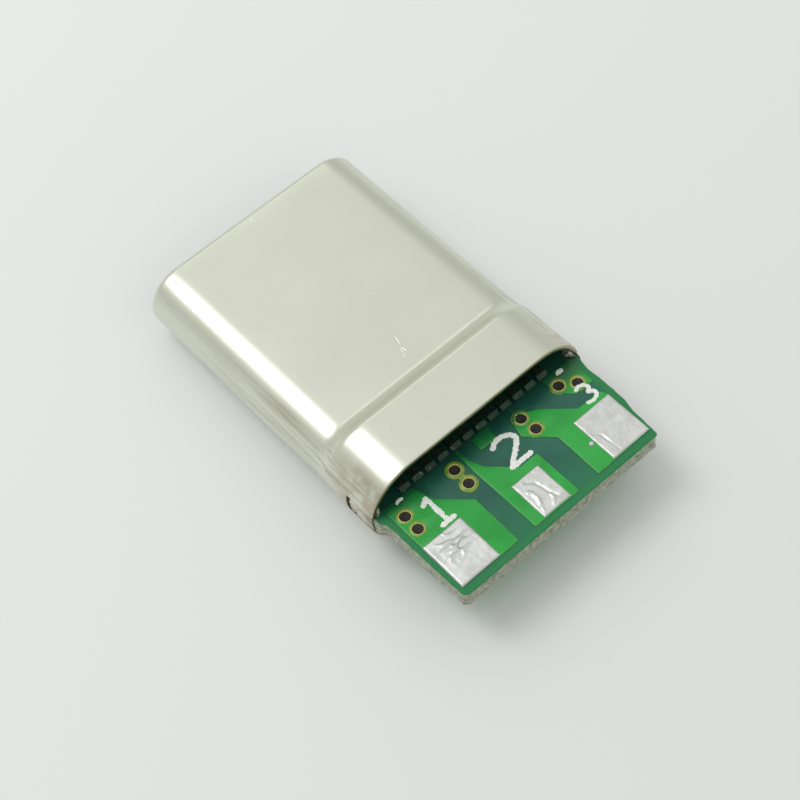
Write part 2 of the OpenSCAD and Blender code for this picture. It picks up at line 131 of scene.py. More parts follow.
def rounded(points, r, steps=5):
    """Closed outline with its corners rounded."""
    out = []
    n = len(points)
    for i in range(n):
        a, b, c = (Vector(points[j % n]) for j in (i - 1, i, i + 1))
        u, v = (a - b), (c - b)
        reach = min(r, u.length * 0.45, v.length * 0.45)
        p, q = b + u.normalized() * reach, b + v.normalized() * reach
        for k in range(steps + 1):
            t = k / steps
            out.append(tuple(p * (1 - t) ** 2 + b * 2 * t * (1 - t) + q * t ** 2))
    return out


def circle(x, y, r, n=40):
    return [(x + r * math.cos(2 * math.pi * k / n), y + r * math.sin(2 * math.pi * k / n)) for k in range(n)]


def slab(name, loops, low, high, bevel, material, edge_material=None, steps=2, under=False):
    """Plate with soft edges from outlines in place across and depth; inner outlines are holes."""
    cu = bpy.data.curves.new(name, "CURVE")
    cu.dimensions = "2D"
    cu.fill_mode = "BOTH"
    cu.resolution_u = 1
    for loop in loops:
        s = cu.splines.new("POLY")
        s.points.add(len(loop) - 1)
        for p, (x, d) in zip(s.points, loop):
            p.co = (x * MM, -d * MM, 0, 1)
        s.use_cyclic_u = True
    half = (high - low) / 2 * MM
    cu.bevel_depth = min(bevel * MM, half * 0.999)
    cu.bevel_resolution = steps
    cu.extrude = half - cu.bevel_depth
    cu.offset = -cu.bevel_depth
    o = bpy.data.objects.new(name, cu)
    bpy.context.scene.collection.objects.link(o)
    dg = bpy.context.evaluated_depsgraph_get()
    me = bpy.data.meshes.new_from_object(o.evaluated_get(dg))
    bpy.data.objects.remove(o)
    me.transform(Matrix.Translation((0, OVERALL_L / 2 * MM, ((low + high) / 2 + REAR_H / 2) * MM)))
    if under:
        me.transform(Matrix.Translation((0, 0, REAR_H * MM)) @ Matrix.Scale(-1, 4, (0, 0, 1)))
        me.flip_normals()
    weld(me)
    me.materials.clear()
    me.materials.append(material)
    if edge_material is not None:
        me.materials.append(edge_material)
        for poly in me.polygons:
            if abs(poly.normal.z) < 0.92:
                poly.material_index = 1
    return new_object(name, me, smooth=50)


def weld(me, dist=2e-7):
    import bmesh

    bm = bmesh.new()
    bm.from_mesh(me)
    bmesh.ops.remove_doubles(bm, verts=bm.verts, dist=dist)
    bm.to_mesh(me)
    bm.free()


def keep(piece, nodes):
    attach(piece, "root")
    if nodes:
        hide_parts(*nodes)
    return piece


# Materials


class Nodes:
    """Small builder for node trees."""

    def __init__(self, name):
        self.mat = bpy.data.materials.new(name)
        self.mat.use_nodes = True
        self.tree = self.mat.node_tree
        self.bsdf = self.tree.nodes["Principled BSDF"]
        self.coord = self.add("ShaderNodeTexCoord").outputs["Object"]

    def add(self, kind, **values):
        node = self.tree.nodes.new(kind)
        for key, value in values.items():
            if hasattr(node, key):
                setattr(node, key, value)
            else:
                node.inputs[key.replace("_", " ")].default_value = value
        return node

    def link(self, a, b):
        self.tree.links.new(a, b)

    def scaled(self, x=1, y=1, z=1):
        m = self.add("ShaderNodeMapping")
        m.inputs["Scale"].default_value = (x, y, z)
        self.link(self.coord, m.inputs["Vector"])
        return m.outputs["Vector"]

    def noise(self, per_mm, detail=4, rough=0.55, vector=None, distortion=0.0):
        n = self.add("ShaderNodeTexNoise")
        n.inputs["Scale"].default_value = per_mm * 1000
        n.inputs["Detail"].default_value = detail
        n.inputs["Roughness"].default_value = rough
        n.inputs["Distortion"].default_value = distortion
        self.link(vector if vector is not None else self.coord, n.inputs["Vector"])
        return n.outputs["Fac"]

    def ramp(self, fac, stops):
        r = self.add("ShaderNodeValToRGB")
        e = r.color_ramp.elements
        while len(e) < len(stops):
            e.new(0.5)
        for el, (pos, col) in zip(e, stops):
            el.position = pos
            el.color = (*col, 1) if len(col) == 3 else col
        self.link(fac, r.inputs["Fac"])
        return r.outputs["Color"]

    def span(self, value, a, b, to_a=0.0, to_b=1.0):
        m = self.add("ShaderNodeMapRange")
        for key, v in (("From Min", a), ("From Max", b), ("To Min", to_a), ("To Max", to_b)):
            m.inputs[key].default_value = v
        self.link(value, m.inputs["Value"])
        return m.outputs["Result"]

    def math(self, op, a, b=None):
        m = self.add("ShaderNodeMath", operation=op)
        for i, v in enumerate((a, b)):
            if v is None:
                continue
            if isinstance(v, (int, float)):
                m.inputs[i].default_value = v
            else:
                self.link(v, m.inputs[i])
        return m.outputs[0]

    def mix(self, fac, a, b):
        m = self.add("ShaderNodeMix", data_type="RGBA")
        for socket, v in ((m.inputs[0], fac), (m.inputs[6], a), (m.inputs[7], b)):
            if isinstance(v, (int, float)):
                socket.default_value = v
            elif isinstance(v, tuple):
                socket.default_value = (*v, 1)
            else:
                self.link(v, socket)
        return m.outputs[2]

    def bump(self, height, distance_mm, strength=1.0, normal=None):
        b = self.add("ShaderNodeBump")
        b.inputs["Strength"].default_value = strength
        b.inputs["Distance"].default_value = distance_mm * MM
        self.link(height, b.inputs["Height"])
        if normal is not None:
            self.link(normal, b.inputs["Normal"])
        return b.outputs["Normal"]

    def place(self):
        """Place across, depth and height off the mid-plane in millimetres."""
        s = self.add("ShaderNodeSeparateXYZ")
        self.link(self.coord, s.inputs[0])
        x = self.math("MULTIPLY", s.outputs[0], 1000)
        depth = self.math("SUBTRACT", OVERALL_L / 2, self.math("MULTIPLY", s.outputs[1], 1000))
        z = self.math("SUBTRACT", self.math("MULTIPLY", s.outputs[2], 1000), REAR_H / 2)
        return x, depth, z

    def done(self, color=None, rough=None, normal=None, **constants):
        for socket, value in (("Base Color", color), ("Roughness", rough), ("Normal", normal)):
            if value is None:
                continue
            if isinstance(value, (int, float)):
                self.bsdf.inputs[socket].default_value = value
            elif isinstance(value, tuple):
                self.bsdf.inputs[socket].default_value = (*value, 1)
            else:
                self.link(value, self.bsdf.inputs[socket])
        for key, value in constants.items():
            self.bsdf.inputs[key.replace("_", " ")].default_value = value
        return self.mat


def srgb(r, g, b):
    def lin(c):
        c /= 255
        return c / 12.92 if c <= 0.04045 else ((c + 0.055) / 1.055) ** 2.4

    return (lin(r), lin(g), lin(b))


def nickel_material():
    """Satin plate with draw marks on the sides, darkened there into a painted dark reflection band under the side
    highlight, and a bare cut edge at the rear.
    """
    n = Nodes("nickel_sheet")
    x, depth, _ = n.place()
    grain = n.noise(8, 4, 0.6)
    pulled = n.noise(1, 5, 0.62, n.scaled(6, 0.35, 6))
    cloud = n.noise(0.45, 3, 0.5)
    streak = n.noise(1, 5, 0.65, n.scaled(9, 0.3, 9))
    color = n.mix(n.span(cloud, 0.35, 0.7), (0.75, 0.77, 0.67), (0.765, 0.785, 0.69))
    color = n.mix(n.span(grain, 0.45, 0.75, 0.0, 0.3), color, (0.69, 0.70, 0.60))
    side = n.span(n.math("ABSOLUTE", x), 3.35, 3.75)
    # Side streaks: real draw marks, made darker and set just under the side highlight as a painted dark reflection
    # band.
    worn = n.math("MULTIPLY", side, n.span(streak, 0.47, 0.64, 0.0, 0.8))
    worn = n.math("MULTIPLY", worn, n.span(depth, 2.0, 8.5, 0.25, 1.0))
    color = n.mix(worn, color, (0.46, 0.43, 0.335))
    heated = n.math("MULTIPLY", side, n.span(depth, 8.8, 9.7))
    heated = n.math("MULTIPLY", heated, n.span(n.noise(1.2, 4, 0.6), 0.40, 0.56, 0.0, 0.85))
    color = n.mix(heated, color, (0.50, 0.45, 0.36))
    color = n.mix(n.span(depth, SHELL_L - 0.05, SHELL_L - 0.01, 0.0, 0.8), color, (0.42, 0.36, 0.22))
    height = n.math("ADD", n.math("MULTIPLY", grain, 0.5), n.math("MULTIPLY", pulled, 0.5))
    height = n.math("ADD", height, n.math("MULTIPLY", side, streak))
    bump = n.bump(height, 0.0028, 0.6)
    r = n.span(n.math("ADD", grain, cloud), 0.6, 1.4, 0.29, 0.345)
    return n.done(color, r, bump, Metallic=1.0)


def steel_material():
    n = Nodes("spring_steel")
    grain = n.noise(1, 4, 0.6, n.scaled(14, 2, 14))
    color = n.ramp(grain, [(0.3, (0.48, 0.48, 0.47)), (0.7, (0.62, 0.62, 0.60))])
    return n.done(color, n.span(grain, 0.3, 0.7, 0.28, 0.42), n.bump(grain, 0.003, 0.5), Metallic=1.0)


def gold_material():
    n = Nodes("contact_gold")
    _, depth, _ = n.place()
    grain = n.noise(12, 4, 0.6)
    worn = n.noise(2.5, 3, 0.5)
    gold = n.mix(n.span(worn, 0.35, 0.7), (0.78, 0.56, 0.22), (0.86, 0.66, 0.32))
    # Painted shade: past a depth of 9.3 mm the contacts turn dark green, for the shade under the shell's rear and the
    # board green they reflect.
    color = n.mix(n.span(depth, 9.3, 9.7), gold, (0.16, 0.22, 0.18))
    return n.done(color, n.span(grain, 0.3, 0.7, 0.24, 0.42), n.bump(grain, 0.002, 0.5), Metallic=1.0)


def tail_material():
    """Solder painted dark green as the shade under the shell's rear and the reflection of the board round it, with
    painted glints.
    """
    n = Nodes("tail_solder_painted_shade")
    grain = n.noise(9, 5, 0.65)
    tone_patches = n.noise(2.2, 3, 0.5)
    color = n.mix(n.span(tone_patches, 0.35, 0.7), srgb(20, 52, 38), srgb(38, 72, 56))
    # Painted glints: pale flecks where the grain is high.
    color = n.mix(n.span(grain, 0.60, 0.72, 0.0, 0.9), color, srgb(150, 172, 156))
    return n.done(color, n.span(grain, 0.3, 0.7, 0.3, 0.5), n.bump(grain, 0.03, 0.9), Metallic=0.35)


def solder_material(name, dull, bright):
    n = Nodes(name)
    grain = n.noise(16, 5, 0.65)
    waves = n.noise(2.2, 3, 0.5, distortion=0.6)
    color = n.mix(n.span(waves, 0.35, 0.65), dull, bright)
    h = n.math("ADD", n.math("MULTIPLY", grain, 0.25), n.math("MULTIPLY", waves, 0.9))
    return n.done(color, n.span(grain, 0.3, 0.7, 0.38, 0.56), n.bump(h, 0.02, 0.7), Metallic=0.85)


def plastic_material():
    n = Nodes("black_plastic")
    grain = n.noise(18, 4, 0.6)
    color = n.ramp(grain, [(0.35, (0.012, 0.012, 0.013)), (0.7, (0.022, 0.022, 0.024))])
    return n.done(color, n.span(grain, 0.3, 0.7, 0.42, 0.6), n.bump(grain, 0.004, 0.5))


def board_material():
    """Mask over the laminate, darker and bluer than over copper, with rough broken edges and a painted shadow of the
    shell near its rear edge.
    """
    n = Nodes("board_mask")
    x, depth, z = n.place()
    weave = n.noise(1, 2, 0.5, n.scaled(9000, 900, 9000))
    cloud = n.noise(1.1, 4, 0.55)
    laminate = n.mix(n.span(cloud, 0.35, 0.7), srgb(12, 88, 74), srgb(26, 104, 82))
    green = n.mix(n.span(depth, 12.6, 14.0), laminate, srgb(14, 112, 72))
    rim = n.math("MAXIMUM", n.math("SUBTRACT", n.math("ABSOLUTE", x), 3.60), n.math("SUBTRACT", depth, 14.1))
    green = n.mix(n.span(rim, 0.0, 0.2), green, srgb(8, 124, 64))
    # Painted shadow of the shell: the mask darkens towards the shell's rear edge.
    near = n.span(n.math("ADD", depth, n.math("MULTIPLY", cloud, 0.8)), 11.55, 11.05)
    green = n.mix(near, green, srgb(16, 66, 54))
    bump = n.bump(n.math("ADD", weave, n.noise(7, 3, 0.5)), 0.003, 0.35)
    return n.done(green, n.span(cloud, 0.3, 0.7, 0.26, 0.38), bump, Coat_Weight=0.15, Coat_Roughness=0.2)


def edge_material():
    n = Nodes("board_edge")
    chips = n.noise(7, 6, 0.65)
    layers = n.noise(1, 4, 0.6, n.scaled(1500, 1500, 16000))
    both = n.math("ADD", n.math("MULTIPLY", chips, 0.6), n.math("MULTIPLY", layers, 0.4))
    color = n.ramp(both, [
        (0.32, srgb(76, 100, 74)), (0.44, srgb(148, 158, 134)), (0.55, srgb(194, 199, 182)), (0.68, srgb(226, 230, 222)),
    ])
    return n.done(color, 0.6, n.bump(both, 0.06, 0.9), Subsurface_Weight=0.25, Subsurface_Scale=0.0003)


def pour_material():
    n = Nodes("masked_copper")
    _, depth, _ = n.place()
    cloud = n.noise(0.9, 4, 0.55)
    fine = n.noise(12, 4, 0.6)
    bright = n.mix(n.span(cloud, 0.35, 0.7), srgb(22, 154, 54), srgb(40, 172, 68))
    # Painted shadow of the shell: the copper darkens towards the shell's rear edge.
    green = n.mix(n.span(n.math("ADD", depth, n.math("MULTIPLY", cloud, 0.7)), 11.75, 11.2), bright, srgb(18, 92, 54))
    return n.done(green, n.span(fine, 0.3, 0.7, 0.22, 0.34), n.bump(fine, 0.003, 0.4), Coat_Weight=0.15, Coat_Roughness=0.2)


def pour_edge_material():
    n = Nodes("masked_copper_edge")
    _, depth, _ = n.place()
    cloud = n.noise(3, 3, 0.5)
    bright = n.mix(n.span(cloud, 0.4, 0.65), srgb(84, 196, 80), srgb(140, 214, 100))
    # Painted shadow of the shell: the pour edges darken towards the shell's rear edge.
    green = n.mix(n.span(depth, 11.6, 11.2), bright, srgb(34, 96, 56))
    return n.done(green, 0.35)


def halo_material():
    n = Nodes("masked_ring")
    cloud = n.noise(4, 3, 0.5)
    color = n.mix(n.span(cloud, 0.35, 0.7), srgb(96, 140, 40), srgb(150, 172, 70))
    return n.done(color, 0.32, Coat_Weight=0.25, Coat_Roughness=0.15)


def ring_material():
    n = Nodes("gold_plating")
    grain = n.noise(14, 4, 0.6)
    color = n.mix(n.span(grain, 0.35, 0.7), srgb(196, 184, 104), srgb(228, 222, 156))
    return n.done(color, n.span(grain, 0.3, 0.7, 0.3, 0.5), n.bump(grain, 0.004, 0.6), Metallic=0.3)


# Near-black with a rough bump, for the discs set inside the via holes: painted shade of the holes.
def via_shade_material():
    n = Nodes("via_painted_shade")
    grain = n.noise(10, 4, 0.6)
    color = n.ramp(grain, [(0.4, (0.004, 0.005, 0.004)), (0.75, (0.018, 0.02, 0.012))])
    return n.done(color, 0.6, n.bump(grain, 0.03, 0.7))


def ink_material():
    n = Nodes("white_ink")
    grain = n.noise(16, 5, 0.6)
    color = n.ramp(grain, [(0.3, srgb(214, 222, 218)), (0.55, srgb(244, 246, 243))])
    return n.done(color, 0.55, n.bump(grain, 0.01, 0.6))


nickel = nickel_material()
steel = steel_material()
gold = gold_material()
solder = solder_material("solder", (0.62, 0.63, 0.62), (0.74, 0.75, 0.74))
joint_solder = solder_material("solder_with_flux", (0.40, 0.37, 0.29), (0.70, 0.69, 0.61))
plastic = plastic_material()
board_green = board_material()
board_side = edge_material()
pour_green = pour_material()
pour_edge = pour_edge_material()
halo = halo_material()
ring_metal = ring_material()
via_painted_shade = via_shade_material()
white_ink = ink_material()
shaded_tail_solder = tail_material()


# Shell


def stadium(w, h, arc=40, flat=12):
    """Points round a flat sided outline with half round ends."""
    r, reach = h / 2, (w - h) / 2
    pts = []
    for side in (1, -1):
        for k in range(arc):
            a = math.radians(-90 + 180 * k / arc)
            pts.append((side * (reach + r * math.cos(a)), side * r * math.sin(a)))
        for k in range(flat):
            pts.append((side * (reach - 2 * reach * k / flat), side * r))
    return pts


def shell_path():
    """Depth and size of each ring round the shell: outside from front to rear, then inside back."""
    def step(t):
        foot = 0.78
        if t < foot:
            u = t / foot
            return 0.86 * u ** 1.9
        u = (t - foot) / (1 - foot)
        return 0.86 + 0.14 * math.sin(math.pi / 2 * u)

    rings = []

    def add(depth, w, h):
        rings.append((depth, w, h))

    for k in range(9):
        a = math.pi / 2 * k / 8
        e = LIP_R - LIP_R * math.sin(a)
        add(LIP_R - LIP_R * math.cos(a), NOSE_W - 2 * e, NOSE_H - 2 * e)
    for k in range(1, 17):
        d = LIP_R + (NOSE_L - 0.25 - LIP_R) * k / 16
        add(d, NOSE_W, NOSE_H)
    start, length = NOSE_L - 0.2, STEP_L + 0.2
    for k in range(29):
        t = k / 28
        rise = step(t)
        add(start + length * t, NOSE_W + (REAR_W - NOSE_W) * rise, NOSE_H + (REAR_H - NOSE_H) * rise)
    for k in range(1, 9):
        d = CREST + (SHELL_L - 0.04 - CREST) * k / 8
        add(d, REAR_W, REAR_H)
    for k in range(1, 5):
        a = math.pi / 2 * k / 4
        e = 0.04 * (1 - math.cos(a))
        add(SHELL_L - 0.04 + 0.04 * math.sin(a), REAR_W - 2 * e, REAR_H - 2 * e)
    for k in range(5):
        a = math.pi / 2 * k / 4
        e = SHEET_T - 0.03 * (1 - math.sin(a))
        add(SHELL_L - 0.03 * (1 - math.cos(a)), REAR_W - 2 * e, REAR_H - 2 * e)
    for k in range(15):
        t = 1 - k / 14
        rise = step(t)
        w = NOSE_W + (REAR_W - NOSE_W) * rise - 2 * SHEET_T
        h = NOSE_H + (REAR_H - NOSE_H) * rise - 2 * SHEET_T
        add(start + 0.05 + length * t, w, h)
    add(LIP_R, NOSE_W - 2 * SHEET_T, NOSE_H - 2 * SHEET_T)
    for k in range(1, 5):
        a = math.pi / 2 * k / 4
        e = LIP_R - (LIP_R - SHEET_T) * math.cos(a)
        add(LIP_R - (LIP_R - SHEET_T) * math.sin(a), NOSE_W - 2 * e, NOSE_H - 2 * e)
    for k in range(7):
        a = math.pi * k / 6
        e = LIP_IN - 0.05 + 0.05 * math.sin(a)
        add(SHEET_T / 2 + SHEET_T / 2 * math.cos(a), NOSE_W - 2 * e, NOSE_H - 2 * e)
    return rings


def cutter(name, x0, x1, d0, d1, z0, z1):
    corners = [(x0, d0), (x1, d0), (x1, d1), (x0, d1)]
    rings = [[at(x, d, z) for x, d in rounded(corners, 0.05, 3)] for z in (z0, z1)]
    me = loft(name, rings, caps=True)
    return new_object(name, me, smooth=0)


def make_shell():
    rings = []
    for depth, w, h in shell_path():
        ring = []
        for x, z in stadium(w, h):
            wave = 0.006 * rough(x, depth, z, 2.4, 3.1) if 0.6 < depth < SHELL_L - 0.3 else 0.0
            ring.append(at(x * (1 - abs(wave) / 6), depth, z * (1 - abs(wave))))
        rings.append(ring)
    me = loft("shell_metal", rings, close_ends=True)
    o = new_object("shell_metal", me, nickel, smooth=0)
    for side in (-1, 1):
        c = cutter("notch_cutter", *sorted((side * 3.925, side * 4.6)), NOTCH_FRONT, 11.6, -0.37, 0.37)
        m = o.modifiers.new("notch", "BOOLEAN")
        m.operation = "DIFFERENCE"
        m.solver = "EXACT"
        m.object = c
        apply_modifiers(o)
        bpy.data.objects.remove(c)
    o.data.shade_smooth()
    o.data.set_sharp_from_angle(angle=math.radians(38))
    return keep(o, ["shell"])


make_shell()


# Board


def along(points, step):
    """Closed outline with points added along it."""
    out = []
    for i, p in enumerate(points):
        a, b = Vector(p), Vector(points[(i + 1) % len(points)])
        n = max(1, round((b - a).length / step))
        out += [tuple(a.lerp(b, k / n)) for k in range(n)]
    return out


BOARD_OUTLINE = [
    (-3.925, 9.5), (3.925, 9.5), (3.93, 9.68), (4.06, 9.69), (4.075, 10.81), (4.03, 10.95), (3.95, 11.30),
    (3.985, 11.79), (3.975, 12.36), (3.95, 12.86), (3.865, 13.27), (3.825, 13.93), (3.80, 14.32),
    (3.74, 14.385), (-3.70, 14.385), (-3.80, 14.33), (-3.86, 14.24), (-3.88, 13.4), (-3.90, 12.4), (-3.91, 11.4),
    (-3.95, 11.1), (-4.05, 10.95), (-4.06, 10.8), (-4.06, 9.69), (-3.93, 9.68),
]


def make_board():
    outline = along(BOARD_OUTLINE, 0.06)
    levels = [-0.35, -0.335, -0.28, -0.21, -0.14, -0.07, 0.0, 0.07, 0.14, 0.21, 0.26, 0.30, 0.335, 0.35]
    rings = []
    for z in levels:
        ring = []
        for i, (x, d) in enumerate(outline):
            nx, nd = Vector(outline[i - 1]), Vector(outline[(i + 1) % len(outline)])
            t = (nd - nx).normalized()
            inward = Vector((t.y, -t.x))
            if inward.dot(Vector((-x, 12.0 - d))) < 0:
                inward = -inward
            outside = 1.0 if d > 10.9 else 0.0
            deep = 0.045 * (rough(x, d, z, 0.22, 1.7) + 0.35) + 0.05 * max(0.0, rough(x, d, z, 0.55, 5.2))
            lift = 0.012 + 0.02 * max(0.0, rough(x, d, 0, 0.35, 8.8)) if abs(z) > 0.30 else 0.0
            if abs(z) > 0.345:
                lift += 0.02
            move = max(0.0, deep if abs(z) < 0.3 else deep * 0.35) * outside + lift * outside
            ring.append(at(x + inward.x * move, d + inward.y * move, z))
        rings.append(ring)
    n = len(outline)
    verts = [p for r in rings for p in r]
    faces, kinds = [], []
    for i in range(len(rings) - 1):
        for k in range(n):
            m = (k + 1) % n
            faces.append((i * n + k, i * n + m, (i + 1) * n + m, (i + 1) * n + k))
            kinds.append(0 if levels[i] >= 0.30 else 1)
    holes = 48
    for z, ring, top in ((0.35, rings[-1], True), (-0.35, rings[0], False)):
        base = (len(rings) - 1) * n if top else 0
        loops = [[v.copy() for v in ring]]
        index = [base + k for k in range(n)]
        for vx, vd in VIAS:
            loop = [at(x, d, z) for x, d in circle(vx, SHELL_L + vd, 0.195, holes)]
            loops.append(loop)
            index += list(range(len(verts), len(verts) + holes))
            verts += loop
        for tri in tessellate_polygon(loops):
            faces.append(tuple(index[k] for k in tri))
            kinds.append(0)
    walls = len(verts) - 2 * 8 * holes
    for v in range(8):
        for k in range(holes):
            m = (k + 1) % holes
            a, b = walls + v * holes, walls + 8 * holes + v * holes
            faces.append((a + k, a + m, b + m, b + k))
            kinds.append(1)
    me = bpy.data.meshes.new("board_laminate")
    me.from_pydata([tuple(v) for v in verts], [], faces)
    me.update()
    me.materials.append(board_green)
    me.materials.append(board_side)
    for poly, kind in zip(me.polygons, kinds):
        poly.material_index = kind
    fix_normals(me)
    return keep(new_object("board_laminate", me, smooth=30), ["circuit_board"])


make_board()

LAND_REAR = OVERALL_L - 0.3
POURS = {
    "ground_pour": [(-3.72, 10.69), (-2.6, 10.69), (-2.4, 11.45), (-1.54, 12.28), (-1.56, 14.1), (-3.70, 14.1), (-3.70, 12.4)],
    "control_pour": [
        (-0.94, 10.69), (-0.80, 10.69), (-0.79, 11.2), (-0.61, 11.67), (-0.27, 12.0), (0.1, 12.4),
        (0.79, 12.4), (0.81, 14.13), (-0.90, 14.12), (-0.94, 11.58),
    ],
    "power_pour": [
        (0.99, 11.19), (1.2, 11.1), (1.22, 10.69), (1.3, 10.69), (1.31, 11.08), (1.44, 11.08), (1.88, 11.34), (2.72, 12.14),
        (3.61, 12.17), (3.72, 12.4), (3.72, 14.1), (1.6, 14.13), (1.62, 12.44), (0.87, 11.68), (0.94, 11.27),
    ],
    "return_pour": [(2.6, 10.69), (3.76, 10.69), (3.72, 11.74), (3.06, 11.73), (2.6, 11.28)],
    "link_pour": [(-1.43, 11.32), (-1.20, 11.32), (-1.20, 11.58), (-1.43, 11.58)],
    "data_pour": [(-0.31, 10.69), (0.34, 10.69), (0.34, 11.21), (-0.31, 11.21)],
}


def inside(p, loop):
    x, y = p
    hit = False
    for i in range(len(loop)):
        (x1, y1), (x2, y2) = loop[i - 1], loop[i]
        if (y1 > y) != (y2 > y) and x < (x2 - x1) * (y - y1) / (y2 - y1) + x1:
            hit = not hit
    return hit


for name, points in POURS.items():
    loops = [rounded(points, 0.05)]
    for vx, vd in VIAS:
        if inside((vx, SHELL_L + vd), points):
            loops.append(circle(vx, SHELL_L + vd, 0.25))
    top_material = halo if name == "link_pour" else pour_green
    o = slab(name + "_copper", loops, BOARD_TOP - 0.001, COPPER_TOP, 0.034, top_material, pour_edge)
    keep(o, [name])

UNDER = {
    "ground_pour_bottom": [
        (-3.70, 11.0), (-1.75, 11.0), (-1.75, 12.2), (1.75, 12.2), (1.75, 11.0), (3.70, 11.0), (3.70, 14.1), (-3.70, 14.1),
    ],
    "power_pour_bottom": [(-1.6, 11.0), (1.6, 11.0), (1.6, 12.05), (-1.6, 12.05)],
}
for name, points in UNDER.items():
    loops = [rounded(points, 0.05)]
    for vx, vd in VIAS:
        if inside((vx, SHELL_L + vd), points):
            loops.append(circle(vx, SHELL_L + vd, 0.25))
    o = slab(name + "_copper", loops, BOARD_TOP - 0.001, COPPER_TOP, 0.03, pour_green, pour_edge, under=True)
    keep(o, [name])

# Plated holes: sleeve, ring and the mask's halo round each, and a near-black disc of painted shade inside each hole


def make_vias():
    def profile(x, depth):
        pts = []
        r0, r1, r2 = 0.178, 0.193, 0.30
        top = COPPER_TOP + 0.004
        pts = [
            (r0, -COPPER_TOP), (r0, 0.0), (r0, COPPER_TOP - 0.01), (r0 + 0.012, top), (r1, top), (r1 + 0.01, top - 0.006),
        ]
        skirt = [(r1 + 0.01, top - 0.006), (r2 - 0.03, top - 0.006), (r2, COPPER_TOP - 0.02), (r2 + 0.004, BOARD_TOP)]
        return pts, skirt

    rings_v, rings_f, halo_v, halo_f = [], [], [], []
    n = 40
    for vx, vd in VIAS:
        metal, skirt = profile(vx, vd)
        for sign in (1, -1):
            for line, vs, fs in ((metal, rings_v, rings_f), (skirt, halo_v, halo_f)):
                base = len(vs)
                line = [p for p in line if line is skirt or p[1] >= 0 or sign > 0]
                for r, z in line:
                    for k in range(n):
                        a = 2 * math.pi * k / n
                        wob = 1 + 0.02 * rough(math.cos(a), math.sin(a), r, 0.6, vx)
                        z_here = z * sign if z > 0 else z
                        vs.append(at(vx + r * wob * math.cos(a), SHELL_L + vd + r * wob * math.sin(a), z_here))
                for i in range(len(line) - 1):
                    for k in range(n):
                        m = (k + 1) % n
                        a, b = base + i * n, base + (i + 1) * n
                        face = (a + k, a + m, b + m, b + k)
                        fs.append(face if sign > 0 else face[::-1])
    me = mesh_of("via_rings", rings_v, rings_f)
    keep(new_object("via_rings", me, ring_metal, smooth=60), ["via_barrels"])
    me = mesh_of("via_halos", halo_v, halo_f)
    keep(new_object("via_halos", me, halo, smooth=60), [])
    # Near-black discs just inside each hole, top and bottom: painted shade of the hole.
    shade_disc_v, shade_disc_f = [], []
    for vx, vd in VIAS:
        for z0 in (BOARD_TOP - 0.02, -BOARD_TOP + 0.02):
            base = len(shade_disc_v)
            shade_disc_v.append(at(vx, SHELL_L + vd, z0 - 0.03 * (1 if z0 > 0 else -1)))
            for ring in (0.5, 1.0):
                for k in range(n):
                    a = 2 * math.pi * k / n
                    r = 0.178 * ring
                    shade_disc_v.append(at(vx + r * math.cos(a), SHELL_L + vd + r * math.sin(a), z0 - 0.02 * (1 - ring)))
            for k in range(n):
                m = (k + 1) % n
                shade_disc_f.append((base, base + 1 + k, base + 1 + m))
                shade_disc_f.append((base + 1 + k, base + 1 + n + k, base + 1 + n + m, base + 1 + m))
    me = mesh_of("via_shade_discs", shade_disc_v, shade_disc_f)
    fix_normals(me)
    keep(new_object("via_shade_discs", me, via_painted_shade, smooth=60), [])


make_vias()

# Lands: tinned copper with a skin of solder that set with ripples


# Folds in the solder: points across and by depth, height (below zero for a groove) and half width

FOLDS = {
    "control_land": [
        ([(-0.16, 12.91), (0.04, 13.08), (0.11, 13.36), (0.15, 13.61), (0.23, 13.84)], -0.024, 0.045),
        ([(-0.31, 13.21), (-0.26, 13.30), (-0.24, 13.49), (-0.31, 13.71)], 0.030, 0.055),
        ([(0.14, 13.67), (0.10, 13.82), (0.00, 13.96)], 0.026, 0.045),
        ([(-0.37, 13.84), (-0.41, 13.98)], 0.018, 0.040),
    ],
    "power_land": [
        ([(2.38, 13.07), (2.55, 13.27), (2.56, 13.50), (2.58, 13.80), (2.60, 13.98)], -0.018, 0.040),
    ],
}


def distance_to(points, x, d):
    best = 9.0
    for (xa, da), (xb, db) in zip(points, points[1:]):
        dx, dd = xb - xa, db - da
        share = ((x - xa) * dx + (d - da) * dd) / (dx * dx + dd * dd)
        share = min(1.0, max(0.0, share))
        best = min(best, math.hypot(x - xa - share * dx, d - da - share * dd))
    return best


def folds(name, x, d):
    h = 0.0
    for k, (points, height, half) in enumerate(FOLDS.get(name, [])):
        uneven = 1 + 0.8 * rough(x, d, k, 0.3, 5.0)
        h += height * uneven * math.exp(-((distance_to(points, x, d) / half) ** 2))
    return h


def wrinkles(name, x, d):
    """Height in millimetres that a land's solder stands above its plain skin."""
    h = 0.006 * rough(x, d, 0, 0.5, 4.0) + 0.003 * rough(x, d, 0, 0.12, 2.0)
    if name == "ground_land":
        near = math.exp(-(((x + 3.0) / 0.42) ** 2 + ((d - 12.95) / 0.38) ** 2))
        ridge = 1 - abs(rough(x * 1.0, d * 1.4, 0, 0.34, 6.3)) * 5
        h += 0.05 * near * max(-0.25, ridge)
        h += 0.02 * math.exp(-(((x + 3.35) / 0.2) ** 2 + ((d - 13.1) / 0.5) ** 2)) * (0.5 + rough(x, d, 0, 0.2, 9.0))
    return h + folds(name, x, d)


LANDS = {
    "ground_land": (-3.71, -2.25, LAND_REAR - 1.7, LAND_REAR),
    "control_land": (-0.53, 0.53, LAND_REAR - 1.4, LAND_REAR),
    "power_land": (2.25, 3.71, LAND_REAR - 1.7, LAND_REAR),
}


